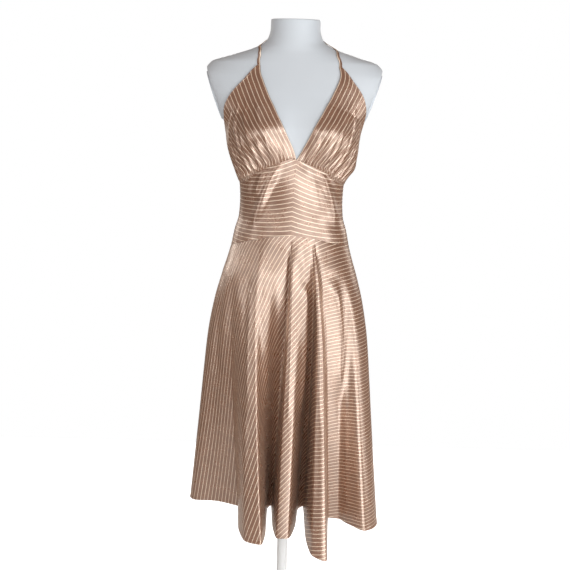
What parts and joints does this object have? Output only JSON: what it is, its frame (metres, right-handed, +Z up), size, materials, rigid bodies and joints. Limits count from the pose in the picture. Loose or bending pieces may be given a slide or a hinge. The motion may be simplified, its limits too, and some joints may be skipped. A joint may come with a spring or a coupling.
{
  "type": "halter midi dress on a limbless dress form",
  "caption": "Satin halter midi dress with gathered cups, a close chevron midriff and a flared skirt in deep folds, on a limbless form with a round stand",
  "frame": {"origin": "the middle of the base plate's flat underside, on the pole's axis", "axes": "+Z up along the pole, -Y the way that the dress faces, +X the wearer's left"},
  "size_m": [0.4479, 0.4657, 1.498],
  "materials": {
    "striped_satin": "brown satin with narrow cream pink stripes, soft sheen",
    "form_plastic": "pale grey moulded plastic, smooth and matt",
    "stand_paint": "white powder coat"
  },
  "bodies": {
    "root": {"cup_right": "striped_satin", "cup_left": "striped_satin", "midriff_front_right": "striped_satin", "midriff_front_left": "striped_satin", "midriff_back": "striped_satin", "skirt_front": "striped_satin", "skirt_back": "striped_satin", "halter_strap": "striped_satin", "form_torso": "form_plastic", "arm_plate_right": "form_plastic", "arm_plate_left": "form_plastic", "pole": "stand_paint", "pole_collar": "stand_paint", "base_plate": "stand_paint"}
  },
  "joints": []
}
